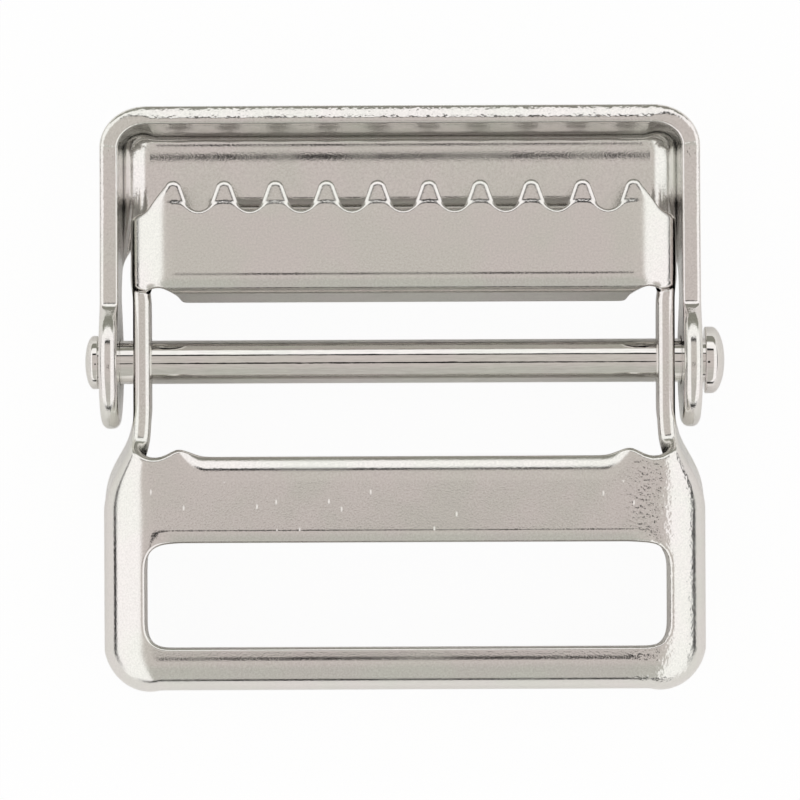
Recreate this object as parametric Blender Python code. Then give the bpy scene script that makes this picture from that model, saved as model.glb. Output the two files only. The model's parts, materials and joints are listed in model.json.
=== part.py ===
# Toothed clamp buckle slider for 30 mm webbing, in metres.
# A toothed frame and a cover pan, both pressed from sheet, swing on one riveted pin.
# Each pressing is cut as a flat blank and then formed, and all three pieces are drawn about the pin
# axis: x runs along the pin, y towards the cover's closed end, z towards the face that shows.

import math

import bpy
from mathutils import Vector
from mathutils.geometry import delaunay_2d_cdt

# Sheet and pin
FRAME_SHEET = 0.0010
COVER_SHEET = 0.0011
PIN_DIAMETER = 0.0026
PIN_HOLE_CLEARANCE = 0.00015
PIN_HEAD_DIAMETER = 0.0040
PIN_HEAD_HEIGHT = 0.0012
PIN_PEEN_DIAMETER = 0.0032
PIN_PEEN_HEIGHT = 0.0008
PIN_HEAD_GAP = 0.0003
PIN_PEEN_GAP = 0.0002
DOME_RIM_SHARE = 0.35

# Toothed frame, across; the webbing lies on the plate and passes through the slot
WEBBING_WIDTH = 0.0300
PLATE_SIDE_INSET = 0.00136
SLOT_SIDE_CLEARANCE = 0.00065
SLOT_INTO_BEND = 0.00066
PLATE_SHOULDER_RADIUS = 0.0034
PLATE_EDGE_RADIUS = 0.0010
ARM_BEND_RADIUS = 0.0010
BASE_SHOULDER_RADIUS = 0.00345
BASE_EDGE_RADIUS = 0.0021
FOOT_BEND_RADIUS = 0.0020
PLATE_FLARE = math.radians(4.5)
ARM_FLARE = math.radians(2.0)
BASE_FLARE = math.radians(2.4)
FOOT_FLARE = math.radians(1.5)
SKIRT_FLARE = math.radians(6.0)
SKIRT_LEAD = 0.0016
BASE_CORNER_RADIUS = 0.00035

# Toothed frame, along and through
PIN_TO_FRONT = 0.0030
FRAME_DEPTH = 0.0068
ARM_BEHIND_PIN = 0.0024
ARM_TAPER_ABOVE_PIN = 0.0024
ARM_BLEND = 0.0020
PLATE_ABOVE_PIN = 0.00346
PLATE_LIP_RADIUS = 0.0013
PLATE_LIP_ROLL = math.radians(70.0)
PLATE_LIP_STRAIGHT = 0.00175
PLATE_FACE = 0.00354
TOOTH_BEND_RADIUS = 0.0030
TOOTH_ROLL = math.radians(26.0)
TOOTH_STRAIGHT = 0.00077
TOOTH_PITCH = 0.00305
TOOTH_ROW_INSET = 0.0010
TOOTH_HEIGHT = 0.00184
TOOTH_TIP_RADIUS = 0.0005
TOOTH_VALLEY_RADIUS = 0.00075
BAR_BELOW_PIN = 0.00555
BAR_LIP_RADIUS = 0.0018
BAR_LIP_ROLL = math.radians(73.0)
BAR_FACE = 0.0030
SLOT_LIP_ROLL = math.radians(20.0)
SLOT_HEIGHT = 0.00615
SLOT_CORNER_RADIUS = 0.0012
FOOT_FACE = 0.00062
WAIST_ABOVE_BAR = 0.00066
WAIST_LENGTH = 0.0046
SHOULDER_DEPTH = 0.0024
SHOULDER_BELOW_BEND = 0.0002
END_FLANK_RISE = 0.00035
END_FLANK_OVER = 0.0005
LIP_END_INSET = 0.0016
PLATE_NOTCH_DEPTH = 0.0010
HORN_DROP = 0.00005
BAR_NOTCH_DEPTH = 0.0009
BAR_NOTCH_RISE = 0.0004
PLATE_LIP_FADE = 0.0024
BAR_LIP_FADE = 0.0024
BAR_LIP_RUNOUT = 0.0009

# Cover
EAR_RADIUS = 0.0040
EAR_SIDE_GAP = 0.00048
COVER_SIDE_SHIFT = -0.0002
EAR_DRAFT = math.radians(0.5)
SIDE_DRAFT = math.radians(4.0)
END_DRAFT = math.radians(8.0)
COVER_BEND_RADIUS = 0.0005
COVER_SIDE_BEND_RADIUS = 0.0016
COVER_CORNER_RADIUS = 0.00035
RIM_BELOW_FRONT = 0.0008
FLOOR_BEHIND_PIN = 0.0024
TOOTH_ROOM = 0.0023
FLOOR_FACE = 0.0031
COVER_LIP_RADIUS = 0.0013
COVER_LIP_ROLL = math.radians(45.0)
COVER_LIP_INSET = 0.0034
COVER_LIP_FADE = 0.0012
COVER_WAIST_RISE = 0.0001
COVER_WAIST_GAP = 0.0003

# Facets
BEND_STEPS = 4
CURVE_STEPS = 6
WAIST_STEPS = 8
TOOTH_ARC_STEPS = 3
EAR_STEPS = 28
HOLE_SIDES = 24
PIN_SIDES = 32
SIDE_STEPS = 3
FADE_STEPS = 3
NORMAL_STEP = 0.000002
MERGE_DISTANCE = 0.0000001
SHARP_ANGLE = math.radians(35.0)

NICKEL_COLOR = (0.78, 0.75, 0.72, 1.0)
NICKEL_ROUGHNESS = 0.28

RIGHT_ANGLE = math.pi / 2


def mix(low, high, share):
    """Value a share of the way from low to high."""
    return low + (high - low) * share


def ease(share):
    """Smooth step from 0 to 1."""
    share = min(max(share, 0.0), 1.0)
    return share * share * (3.0 - 2.0 * share)


def steps(low, high, count):
    """Evenly spaced values from low to high, both included."""
    return [mix(low, high, index / count) for index in range(count + 1)]


def bend(distance, radii, angle):
    """Run and drop of a face at a distance past the start of a bend, half its angle to each radius."""
    if distance <= 0.0:
        return distance, 0.0
    run = 0.0
    drop = 0.0
    turned = 0.0
    for radius in radii:
        before = turned
        turned += min(distance / radius, angle / 2)
        run += radius * (math.sin(turned) - math.sin(before))
        drop += radius * (math.cos(before) - math.cos(turned))
        distance -= radius * (turned - before)
    return run + distance * math.cos(turned), drop + distance * math.sin(turned)


def arc_length(share, radii, angle):
    """Distance past the start of a bend at which it has turned through that share of its angle."""
    return angle * (radii[0] * min(share, 0.5) + radii[1] * max(share - 0.5, 0.0))


def bend_length(drop, radii, angle):
    """Distance past the start of a bend at which the face has dropped that far."""
    length = 0.0
    turned = 0.0
    for radius in radii:
        arc_drop = radius * (math.cos(turned) - math.cos(turned + angle / 2))
        if drop <= arc_drop:
            return length + radius * (math.acos(math.cos(turned) - drop / radius) - turned)
        drop -= arc_drop
        length += radius * angle / 2
        turned += angle / 2
    return length + drop / math.sin(angle)


def setback(radii, angle):
    """Distance from the start of a bend to the corner where the planes on its two sides meet."""
    run, drop = bend(arc_length(1.0, radii, angle), radii, angle)
    return run - drop / math.tan(angle)


def even(radius):
    """Radii of a bend that turns evenly."""
    return radius, radius


def mirrored(right):
    """Closed outline from its right half, which runs from the lower middle to the upper middle."""
    left = [(-u, v) for u, v in reversed(right) if u > 0.0]
    return right + left


def both_sides(lines):
    """Lines on the right and their mirror images, which keep the way a loop turns."""
    return lines + [[(-u, v) for u, v in reversed(line)] for line in lines]


def press(name, outline, holes, creases, form, sheet):
    """Cut a blank, form it and give it its sheet thickness behind the formed face."""
    points = []
    loops = []
    edges = []
    for loop in [outline] + holes:
        loops.append(list(range(len(points), len(points) + len(loop))))
        points.extend(loop)
    for line in creases:
        first = len(points)
        points.extend(line)
        edges.extend((index, index + 1) for index in range(first, len(points) - 1))
    flat, _, triangles, _, _, owners = delaunay_2d_cdt(
        [Vector(point) for point in points], edges, loops, 0, MERGE_DISTANCE)
    kept = [list(tri) for tri, owner in zip(triangles, owners) if list(owner) == [0]]
    used = sorted({index for tri in kept for index in tri})
    place = {index: order for order, index in enumerate(used)}
    kept = [[place[index] for index in tri] for tri in kept]
    front = [form(*flat[index]) for index in used]
    back = [formed_back(form, *flat[index], sheet) for index in used]
    count = len(used)
    faces = kept + [[index + count for index in reversed(tri)] for tri in kept]
    sides = {(tri[i], tri[(i + 1) % 3]) for tri in kept for i in range(3)}
    for start, end in sorted(sides):
        if (end, start) not in sides:
            faces.append([start, start + count, end + count, end])
    return piece(name, front + back, faces)


def formed_back(form, u, v, sheet):
    """Point on the far face of the sheet, square behind the formed face."""
    along_u = form(u + NORMAL_STEP, v) - form(u - NORMAL_STEP, v)
    along_v = form(u, v + NORMAL_STEP) - form(u, v - NORMAL_STEP)
    return form(u, v) - along_u.cross(along_v).normalized() * sheet


def piece(name, points, faces):
    """Mesh object with its own nickel plate, shaded smooth between its sharp edges."""
    mesh = bpy.data.meshes.new(name)
    mesh.from_pydata(points, [], faces)
    mesh.validate()
    mesh.shade_smooth()
    mesh.set_sharp_from_angle(angle=SHARP_ANGLE)
    mesh.materials.append(nickel(name + "_nickel"))
    made = bpy.data.objects.new(name, mesh)
    bpy.context.collection.objects.link(made)
    return made


def nickel(name):
    """Nickel-plated steel."""
    material = bpy.data.materials.new(name)
    material.use_nodes = True
    shader = material.node_tree.nodes["Principled BSDF"]
    shader.inputs["Base Color"].default_value = NICKEL_COLOR
    shader.inputs["Metallic"].default_value = 1.0
    shader.inputs["Roughness"].default_value = NICKEL_ROUGHNESS
    return material


# Frame layout, from the pin outwards
BACK_Z = PIN_TO_FRONT - FRAME_DEPTH
HOLE_RADIUS = PIN_DIAMETER / 2 + PIN_HOLE_CLEARANCE
PLATE_FLAT_WIDTH = WEBBING_WIDTH - 2 * PLATE_SIDE_INSET
SLOT_WIDTH = WEBBING_WIDTH + 2 * SLOT_SIDE_CLEARANCE
BASE_FLAT_WIDTH = SLOT_WIDTH - 2 * SLOT_INTO_BEND
PLATE_RADII = (PLATE_SHOULDER_RADIUS, PLATE_EDGE_RADIUS)
BASE_RADII = (BASE_SHOULDER_RADIUS, BASE_EDGE_RADIUS)
PLATE_CORNER_HALF = PLATE_FLAT_WIDTH / 2 + setback(PLATE_RADII, RIGHT_ANGLE - PLATE_FLARE)
BASE_CORNER_HALF = BASE_FLAT_WIDTH / 2 + setback(BASE_RADII, RIGHT_ANGLE - BASE_FLARE)
PLATE_LIP_LENGTH = PLATE_LIP_RADIUS * PLATE_LIP_ROLL + PLATE_LIP_STRAIGHT
PLATE_LIP_Y = PLATE_ABOVE_PIN + bend(PLATE_LIP_LENGTH, even(PLATE_LIP_RADIUS), PLATE_LIP_ROLL)[0]
TOOTH_BEND_Y = PLATE_LIP_Y + PLATE_FACE
TOOTH_LENGTH = TOOTH_BEND_RADIUS * TOOTH_ROLL + TOOTH_STRAIGHT
TOOTH_TIP_V = TOOTH_BEND_Y + TOOTH_LENGTH
TOOTH_TIP_Y = TOOTH_BEND_Y + bend(TOOTH_LENGTH, even(TOOTH_BEND_RADIUS), TOOTH_ROLL)[0]
BAR_LIP_LENGTH = BAR_LIP_RADIUS * BAR_LIP_ROLL
BAR_LIP_Y = -BAR_BELOW_PIN - BAR_LIP_RADIUS * math.sin(BAR_LIP_ROLL)
SLOT_LIP_LENGTH = BAR_LIP_RADIUS * SLOT_LIP_ROLL
SLOT_LIP_FADE = 2 * SLOT_CORNER_RADIUS
SLOT_LIP_Y = BAR_LIP_Y - BAR_FACE
SLOT_TOP_V = SLOT_LIP_Y - SLOT_LIP_LENGTH
SLOT_BOTTOM_Y = SLOT_LIP_Y - BAR_LIP_RADIUS * math.sin(SLOT_LIP_ROLL) - SLOT_HEIGHT
FOOT_BEND_Y = SLOT_BOTTOM_Y - FOOT_FACE
WINDOW_TOP_V = PLATE_LIP_Y - PLATE_LIP_LENGTH
WINDOW_BOTTOM_V = BAR_LIP_Y + BAR_LIP_LENGTH
WAIST_TOP_Y = WINDOW_BOTTOM_V + WAIST_ABOVE_BAR
WAIST_BOTTOM_Y = WAIST_TOP_Y - WAIST_LENGTH
SKIRT_TOP_Y = WAIST_TOP_Y + SKIRT_LEAD
SHOULDER_Y = TOOTH_BEND_Y - SHOULDER_BELOW_BEND
TOOTH_GAPS = int((WEBBING_WIDTH - 2 * TOOTH_ROW_INSET) / TOOTH_PITCH)
END_TOOTH_U = TOOTH_GAPS * TOOTH_PITCH / 2
END_FLANK_U = WEBBING_WIDTH / 2 + END_FLANK_OVER
LIP_END_U = WEBBING_WIDTH / 2 - LIP_END_INSET
PLATE_LIP_FADE_U = LIP_END_U + PLATE_LIP_FADE
BAR_LIP_FADE_U = LIP_END_U + BAR_LIP_RUNOUT
NOTCH_U = WEBBING_WIDTH / 2
NOTCH_TOP_V = PLATE_LIP_Y - PLATE_NOTCH_DEPTH
CORNER_U = BASE_FLAT_WIDTH / 2 - BASE_CORNER_RADIUS
CORNER_Y = FOOT_BEND_Y + BASE_CORNER_RADIUS


def waist(y):
    """0 at the arms and 1 at the wide base."""
    return ease((WAIST_TOP_Y - y) / WAIST_LENGTH)


def arm(y):
    """0 at the toothed plate and 1 along the arms."""
    return ease((PLATE_LIP_Y - y) / ARM_BLEND)


def skirt(y):
    """1 in the middle of the waist, where the flange's back edge leads its bend, and 0 beyond it."""
    share = min(max((y - WAIST_BOTTOM_Y) / (SKIRT_TOP_Y - WAIST_BOTTOM_Y), 0.0), 1.0)
    return math.sin(math.pi * share) ** 2


def flange_angle(y):
    """Angle that the side flange is bent through."""
    flare = mix(mix(PLATE_FLARE, ARM_FLARE, arm(y)), BASE_FLARE, waist(y))
    return RIGHT_ANGLE - flare - SKIRT_FLARE * skirt(y)


def flange_radii(y):
    """Outer radii of the side flange's bend, tighter along the arms."""
    return [mix(mix(plate, ARM_BEND_RADIUS, arm(y)), base, waist(y))
            for plate, base in zip(PLATE_RADII, BASE_RADII)]


def frame_half(y):
    """Half width of the frame's flat face, which keeps the arms' flanges straight."""
    corner = mix(PLATE_CORNER_HALF, BASE_CORNER_HALF, waist(y))
    return corner - setback(flange_radii(y), flange_angle(y))


def corner_radii(turn):
    """Outer radii of the bend round a base corner, from the side to the foot."""
    return [mix(base, FOOT_BEND_RADIUS, turn / RIGHT_ANGLE) for base in BASE_RADII]


def corner_angle(turn):
    """Angle that the flange is bent through round a base corner, from the side to the foot."""
    return RIGHT_ANGLE - mix(BASE_FLARE, FOOT_FLARE, turn / RIGHT_ANGLE)


def flange_u(y, z):
    """Place across the blank where the side flange reaches height z."""
    return frame_half(y) + bend_length(PIN_TO_FRONT - z, flange_radii(y), flange_angle(y))


def flange_end(y, share):
    """Place across the blank where the side bend has turned through that share of its angle."""
    return frame_half(y) + arc_length(share, flange_radii(y), flange_angle(y))


def flange_back(y):
    """Height of the side flange's back edge."""
    if y < WAIST_TOP_Y:
        return mix(-ARM_BEHIND_PIN, BACK_Z, waist(y))
    rise = max(0.0, (y - ARM_TAPER_ABOVE_PIN) / (SHOULDER_Y - ARM_TAPER_ABOVE_PIN))
    return mix(-ARM_BEHIND_PIN, PIN_TO_FRONT - SHOULDER_DEPTH, rise)


def corner_point(turn, distance):
    """Blank point at a distance past the bend's start round the right base corner."""
    reach = BASE_CORNER_RADIUS + distance
    return CORNER_U + reach * math.cos(turn), CORNER_Y - reach * math.sin(turn)


def lip_share(across, end, fade):
    """1 along a rolled lip, falling to 0 at its end."""
    return ease((end - across) / fade)


def rolled_lips(across, v):
    """Start, direction, radius and angle of the roll that holds at a blank point, or None."""
    if 0.0 < v < PLATE_LIP_Y:
        share = lip_share(across, PLATE_LIP_FADE_U, PLATE_LIP_FADE)
        return PLATE_LIP_Y, -1.0, PLATE_LIP_RADIUS, PLATE_LIP_ROLL * share
    if BAR_LIP_Y < v <= 0.0:
        share = lip_share(across, BAR_LIP_FADE_U, BAR_LIP_FADE)
        return BAR_LIP_Y, 1.0, BAR_LIP_RADIUS, BAR_LIP_ROLL * share
    if SLOT_TOP_V - SLOT_HEIGHT / 2 < v < SLOT_LIP_Y:
        share = lip_share(across, SLOT_WIDTH / 2, SLOT_LIP_FADE)
        return SLOT_LIP_Y, -1.0, BAR_LIP_RADIUS, SLOT_LIP_ROLL * share
    if v > TOOTH_BEND_Y:
        return TOOTH_BEND_Y, 1.0, TOOTH_BEND_RADIUS, TOOTH_ROLL
    return None


def form_frame(u, v):
    """Front face of the frame over a point of its blank."""
    across = abs(u)
    y = v
    if across > CORNER_U and v < CORNER_Y:
        turn = math.atan2(CORNER_Y - v, across - CORNER_U)
        reach = math.hypot(across - CORNER_U, CORNER_Y - v)
        run, drop = bend(reach - BASE_CORNER_RADIUS, corner_radii(turn), corner_angle(turn))
        x, y = corner_point(turn, run)
    elif v < FOOT_BEND_Y:
        run, drop = bend(FOOT_BEND_Y - v, even(FOOT_BEND_RADIUS), RIGHT_ANGLE - FOOT_FLARE)
        x = across
        y = FOOT_BEND_Y - run
    else:
        half = frame_half(v)
        run, drop = bend(across - half, flange_radii(v), flange_angle(v))
        x = half + run
        roll = rolled_lips(across, v)
        if roll:
            start, way, radius, angle = roll
            lip_run, lip_drop = bend((v - start) * way, even(radius), angle)
            y = start + way * lip_run
            drop += lip_drop
    return Vector((math.copysign(x, u), y, PIN_TO_FRONT - drop))


def tooth_slope():
    """Slope angle of a tooth's flank, which runs from its rounded tip to the rounded valley."""
    across = TOOTH_PITCH / 2
    down = TOOTH_HEIGHT - TOOTH_TIP_RADIUS - TOOTH_VALLEY_RADIUS
    rounds = TOOTH_TIP_RADIUS + TOOTH_VALLEY_RADIUS
    return math.atan2(down, across) + math.asin(rounds / math.hypot(across, down))


def toothed_edge():
    """Right half of the blank's toothed edge, from the end tooth to the middle."""
    slope = tooth_slope()
    tip_v = TOOTH_TIP_V - TOOTH_TIP_RADIUS
    valley_v = TOOTH_TIP_V - TOOTH_HEIGHT + TOOTH_VALLEY_RADIUS
    flank = []
    for turn in steps(0.0, slope, TOOTH_ARC_STEPS):
        flank.append((TOOTH_TIP_RADIUS * math.sin(turn), tip_v + TOOTH_TIP_RADIUS * math.cos(turn)))
    for turn in steps(slope, 0.0, TOOTH_ARC_STEPS):
        across = TOOTH_PITCH / 2 - TOOTH_VALLEY_RADIUS * math.sin(turn)
        flank.append((across, valley_v - TOOTH_VALLEY_RADIUS * math.cos(turn)))
    end_arc = [point for point in flank if point[0] < TOOTH_TIP_RADIUS]
    edge = [(END_TOOTH_U + across, v) for across, v in reversed(end_arc[1:-1])]
    for gap in range(TOOTH_GAPS):
        tip_u = END_TOOTH_U - gap * TOOTH_PITCH
        edge += [(tip_u - across, v) for across, v in flank[:-1]]
        edge += [(tip_u - TOOTH_PITCH + across, v) for across, v in reversed(flank[1:])]
    return [(u, v) for u, v in edge if u > -MERGE_DISTANCE]


def frame_outline():
    """Blank outline of the frame, right half first."""
    foot = bend_length(FRAME_DEPTH, even(FOOT_BEND_RADIUS), RIGHT_ANGLE - FOOT_FLARE)
    right = [(0.0, FOOT_BEND_Y - foot)]
    for turn in steps(RIGHT_ANGLE, 0.0, CURVE_STEPS):
        depth = bend_length(FRAME_DEPTH, corner_radii(turn), corner_angle(turn))
        right.append(corner_point(turn, depth))
    side = steps(WAIST_BOTTOM_Y, SKIRT_TOP_Y, WAIST_STEPS) + [ARM_TAPER_ABOVE_PIN, SHOULDER_Y]
    right.extend((flange_u(y, flange_back(y)), y) for y in side)
    right.append((flange_end(SHOULDER_Y, 1.0), SHOULDER_Y))
    right.append((END_FLANK_U, SHOULDER_Y + END_FLANK_RISE))
    return mirrored(right + toothed_edge())


def frame_holes():
    """Blank outlines of the window, the slot and the two pin holes."""
    arm_u = flange_end(0.0, 1.0)
    window = [(0.0, WINDOW_BOTTOM_V), (BAR_LIP_FADE_U - BAR_LIP_FADE, WINDOW_BOTTOM_V)]
    for share in steps(0.0, 1.0, CURVE_STEPS):
        dip = HORN_DROP + BAR_NOTCH_DEPTH * math.sin(math.pi * share) - BAR_NOTCH_RISE * share
        window.append((mix(LIP_END_U, arm_u, share), WINDOW_BOTTOM_V - dip))
    window += [(arm_u, 0.0), (arm_u, NOTCH_TOP_V)]
    for turn in steps(0.0, RIGHT_ANGLE, CURVE_STEPS):
        window.append((mix(NOTCH_U, LIP_END_U, math.sin(turn)),
                       mix(WINDOW_TOP_V, NOTCH_TOP_V, math.cos(turn))))
    window.append((0.0, WINDOW_TOP_V))
    slot = []
    across = SLOT_WIDTH / 2 - SLOT_CORNER_RADIUS
    for middle, first in [(SLOT_BOTTOM_Y + SLOT_CORNER_RADIUS, -RIGHT_ANGLE),
                          (SLOT_TOP_V - SLOT_CORNER_RADIUS, 0.0)]:
        for turn in steps(first, first + RIGHT_ANGLE, CURVE_STEPS):
            slot.append((across + SLOT_CORNER_RADIUS * math.cos(turn),
                         middle + SLOT_CORNER_RADIUS * math.sin(turn)))
    hole = []
    for index in range(HOLE_SIDES):
        turn = math.tau * index / HOLE_SIDES
        y = HOLE_RADIUS * math.sin(turn)
        hole.append((flange_u(y, -HOLE_RADIUS * math.cos(turn)), y))
    return [mirrored(window), mirrored(slot)] + both_sides([hole])


def frame_creases():
    """Rows of the blank along which the frame's bends are faceted."""
    lines = []
    rows = []
    heights = steps(CORNER_Y, WAIST_BOTTOM_Y, SIDE_STEPS)
    heights += steps(WAIST_BOTTOM_Y, SKIRT_TOP_Y, WAIST_STEPS)[1:]
    heights += [0.0] + steps(PLATE_LIP_Y - ARM_BLEND, PLATE_LIP_Y, SIDE_STEPS) + [SHOULDER_Y, TOOTH_TIP_V]
    for share in steps(0.0, 1.0, BEND_STEPS):
        row = [(0.0, FOOT_BEND_Y - share * FOOT_BEND_RADIUS * (RIGHT_ANGLE - FOOT_FLARE))]
        row += [corner_point(turn, arc_length(share, corner_radii(turn), corner_angle(turn)))
                for turn in steps(RIGHT_ANGLE, 0.0, CURVE_STEPS)]
        row += [(flange_end(y, share), y) for y in heights[1:]]
        lines.append(row)
        rows.append((PLATE_LIP_Y - share * PLATE_LIP_RADIUS * PLATE_LIP_ROLL, PLATE_LIP_FADE_U))
        rows.append((BAR_LIP_Y + share * BAR_LIP_LENGTH, BAR_LIP_FADE_U))
        rows.append((SLOT_LIP_Y - share * SLOT_LIP_LENGTH, SLOT_WIDTH / 2))
        rows.append((TOOTH_BEND_Y + share * TOOTH_BEND_RADIUS * TOOTH_ROLL, PLATE_FLAT_WIDTH / 2))
    for y, end in rows:
        lines.append([(u, y) for u in [0.0] + steps(end - SLOT_LIP_FADE, end, FADE_STEPS)])
    return both_sides(lines)


# Cover layout, from the frame outwards
ARM_OUTER_HALF = form_frame(flange_u(0.0, -ARM_BEHIND_PIN), 0.0).x
RIM_Z = PIN_TO_FRONT - RIM_BELOW_FRONT
FLOOR_Z = -FLOOR_BEHIND_PIN
PAN_DEPTH = RIM_Z - FLOOR_Z
RIM_HALF = ARM_OUTER_HALF + EAR_SIDE_GAP + (RIM_Z + ARM_BEHIND_PIN) * math.tan(EAR_DRAFT)
END_BEND_Y = TOOTH_TIP_Y + TOOTH_ROOM
PAN_Y = END_BEND_Y - COVER_CORNER_RADIUS
COVER_LIP_Y = END_BEND_Y - FLOOR_FACE
FLOOR_EDGE_V = COVER_LIP_Y - COVER_LIP_RADIUS * COVER_LIP_ROLL
WAIST_Z = FLOOR_Z + COVER_BEND_RADIUS + COVER_WAIST_RISE
EAR_WAIST_Y = math.sqrt(EAR_RADIUS ** 2 - WAIST_Z ** 2)
EAR_RIM_Y = math.sqrt(EAR_RADIUS ** 2 - RIM_Z ** 2)
COVER_WAIST_Y = EAR_WAIST_Y + COVER_WAIST_GAP


def wall_angle(y):
    """Angle that the cover's side wall is bent through, from the ear to the pan."""
    return RIGHT_ANGLE - mix(EAR_DRAFT, SIDE_DRAFT, ease((y - EAR_RADIUS) / (COVER_LIP_Y - EAR_RADIUS)))


def wall_radii(y):
    """Inner radii of the cover's side bend, wider beside the floor than beside the plate's shoulder."""
    share = ease((y - SHOULDER_Y) / (PAN_Y - SHOULDER_Y))
    return even(mix(COVER_BEND_RADIUS, COVER_SIDE_BEND_RADIUS, share))


def cover_half(y):
    """Half width of the cover's flat floor, which keeps the rim straight."""
    length = bend_length(PAN_DEPTH, wall_radii(y), wall_angle(y))
    return RIM_HALF - bend(length, wall_radii(y), wall_angle(y))[0]


def rim_u(y):
    """Place across the blank of the rim, or of its height on the ear."""
    return cover_half(y) + bend_length(PAN_DEPTH, wall_radii(y), wall_angle(y))


def wall_u(y, z):
    """Place across the blank where the straight part of the cover's side wall reaches height z."""
    return rim_u(y) - (RIM_Z - z) / math.sin(wall_angle(y))


def pan_angle(turn):
    """Angle that the wall is bent through round a corner of the pan, from the side to the end."""
    return RIGHT_ANGLE - mix(SIDE_DRAFT, END_DRAFT, ease(turn / RIGHT_ANGLE))


def pan_radii(turn):
    """Inner radii of the bend round a corner of the pan, from the side to the end."""
    return even(mix(COVER_SIDE_BEND_RADIUS, COVER_BEND_RADIUS, ease(turn / RIGHT_ANGLE)))


PAN_U = cover_half(PAN_Y) - COVER_CORNER_RADIUS
COVER_LIP_END_U = cover_half(PAN_Y) - COVER_LIP_INSET


def pan_point(turn, distance):
    """Blank point at a distance past the bend's start round the pan's right corner."""
    reach = COVER_CORNER_RADIUS + distance
    return PAN_U + reach * math.cos(turn), PAN_Y + reach * math.sin(turn)


def form_cover(u, v):
    """Inner face of the cover over a point of its blank."""
    across = abs(u)
    x = across
    y = v
    if across > PAN_U and v > PAN_Y:
        turn = math.atan2(v - PAN_Y, across - PAN_U)
        reach = math.hypot(across - PAN_U, v - PAN_Y)
        run, rise = bend(reach - COVER_CORNER_RADIUS, pan_radii(turn), pan_angle(turn))
        x, y = pan_point(turn, run)
    elif v > END_BEND_Y:
        run, rise = bend(v - END_BEND_Y, even(COVER_BEND_RADIUS), RIGHT_ANGLE - END_DRAFT)
        y = END_BEND_Y + run
    elif v < COVER_WAIST_Y:
        below_rim = rim_u(v) - across
        x = RIM_HALF - below_rim * math.cos(wall_angle(v))
        rise = PAN_DEPTH - below_rim * math.sin(wall_angle(v))
    else:
        half = cover_half(v)
        run, rise = bend(across - half, wall_radii(v), wall_angle(v))
        x = half + run
        angle = COVER_LIP_ROLL * lip_share(across, COVER_LIP_END_U, COVER_LIP_FADE)
        lip_run, lip_drop = bend(COVER_LIP_Y - v, even(COVER_LIP_RADIUS), angle)
        y = COVER_LIP_Y - lip_run
        rise -= lip_drop
    return Vector((math.copysign(x, u), y, FLOOR_Z + rise))


def cover_outline():
    """Blank outline of the cover, right half first."""
    waist_u = wall_u(COVER_WAIST_Y, WAIST_Z)
    right = [(0.0, FLOOR_EDGE_V), (COVER_LIP_END_U - COVER_LIP_FADE, FLOOR_EDGE_V)]
    for turn in steps(0.0, RIGHT_ANGLE, CURVE_STEPS):
        right.append((mix(COVER_LIP_END_U, waist_u, math.sin(turn)),
                      mix(COVER_WAIST_Y, FLOOR_EDGE_V, math.cos(turn))))
    first = math.atan2(WAIST_Z, EAR_WAIST_Y)
    last = math.atan2(RIM_Z, EAR_RIM_Y) - math.tau
    for turn in steps(first, last, EAR_STEPS):
        y = EAR_RADIUS * math.cos(turn)
        right.append((wall_u(y, EAR_RADIUS * math.sin(turn)), y))
    right.extend((wall_u(y, RIM_Z), y) for y in steps(EAR_RIM_Y, PAN_Y, CURVE_STEPS)[1:-1])
    for turn in steps(0.0, RIGHT_ANGLE, CURVE_STEPS):
        right.append(pan_point(turn, bend_length(PAN_DEPTH, pan_radii(turn), pan_angle(turn))))
    right.append((0.0, right[-1][1]))
    return mirrored(right)


def cover_holes():
    """Blank outlines of the pin holes in the ears."""
    hole = []
    for index in range(HOLE_SIDES):
        turn = math.tau * index / HOLE_SIDES
        y = HOLE_RADIUS * math.sin(turn)
        hole.append((wall_u(y, HOLE_RADIUS * math.cos(turn)), y))
    return both_sides([hole])


def cover_creases():
    """Rows of the blank along which the cover's bends are faceted."""
    lines = []
    heights = steps(COVER_WAIST_Y, SHOULDER_Y, CURVE_STEPS)
    heights += steps(SHOULDER_Y, PAN_Y, CURVE_STEPS)[1:-1]
    for share in steps(0.0, 1.0, BEND_STEPS):
        row = [(cover_half(y) + arc_length(share, wall_radii(y), wall_angle(y)), y) for y in heights]
        row += [pan_point(turn, arc_length(share, pan_radii(turn), pan_angle(turn)))
                for turn in steps(0.0, RIGHT_ANGLE, CURVE_STEPS)]
        row.append((0.0, row[-1][1]))
        lines.append(row)
        lip_v = mix(COVER_LIP_Y, FLOOR_EDGE_V, share)
        fade = steps(COVER_LIP_END_U - COVER_LIP_FADE, COVER_LIP_END_U, FADE_STEPS)
        lines.append([(u, lip_v) for u in [0.0] + fade])
    return both_sides(lines)


# Pin, turned about the x axis between the outsides of the ears
EAR_OUTER_HALF = form_cover(wall_u(0.0, 0.0), 0.0).x + COVER_SHEET / math.cos(EAR_DRAFT)
HEAD_X = COVER_SIDE_SHIFT + EAR_OUTER_HALF + PIN_HEAD_GAP
PEEN_X = COVER_SIDE_SHIFT - EAR_OUTER_HALF - PIN_PEEN_GAP


def dome(start, radius, height):
    """Profile of a domed end from its seat to its tip; a negative height points to the left."""
    rim = DOME_RIM_SHARE * height
    profile = [(start, radius), (start + rim, radius)]
    for turn in steps(0.0, RIGHT_ANGLE, CURVE_STEPS)[1:-1]:
        profile.append((start + rim + (height - rim) * math.sin(turn), radius * math.cos(turn)))
    return profile + [(start + height, 0.0)]


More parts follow.
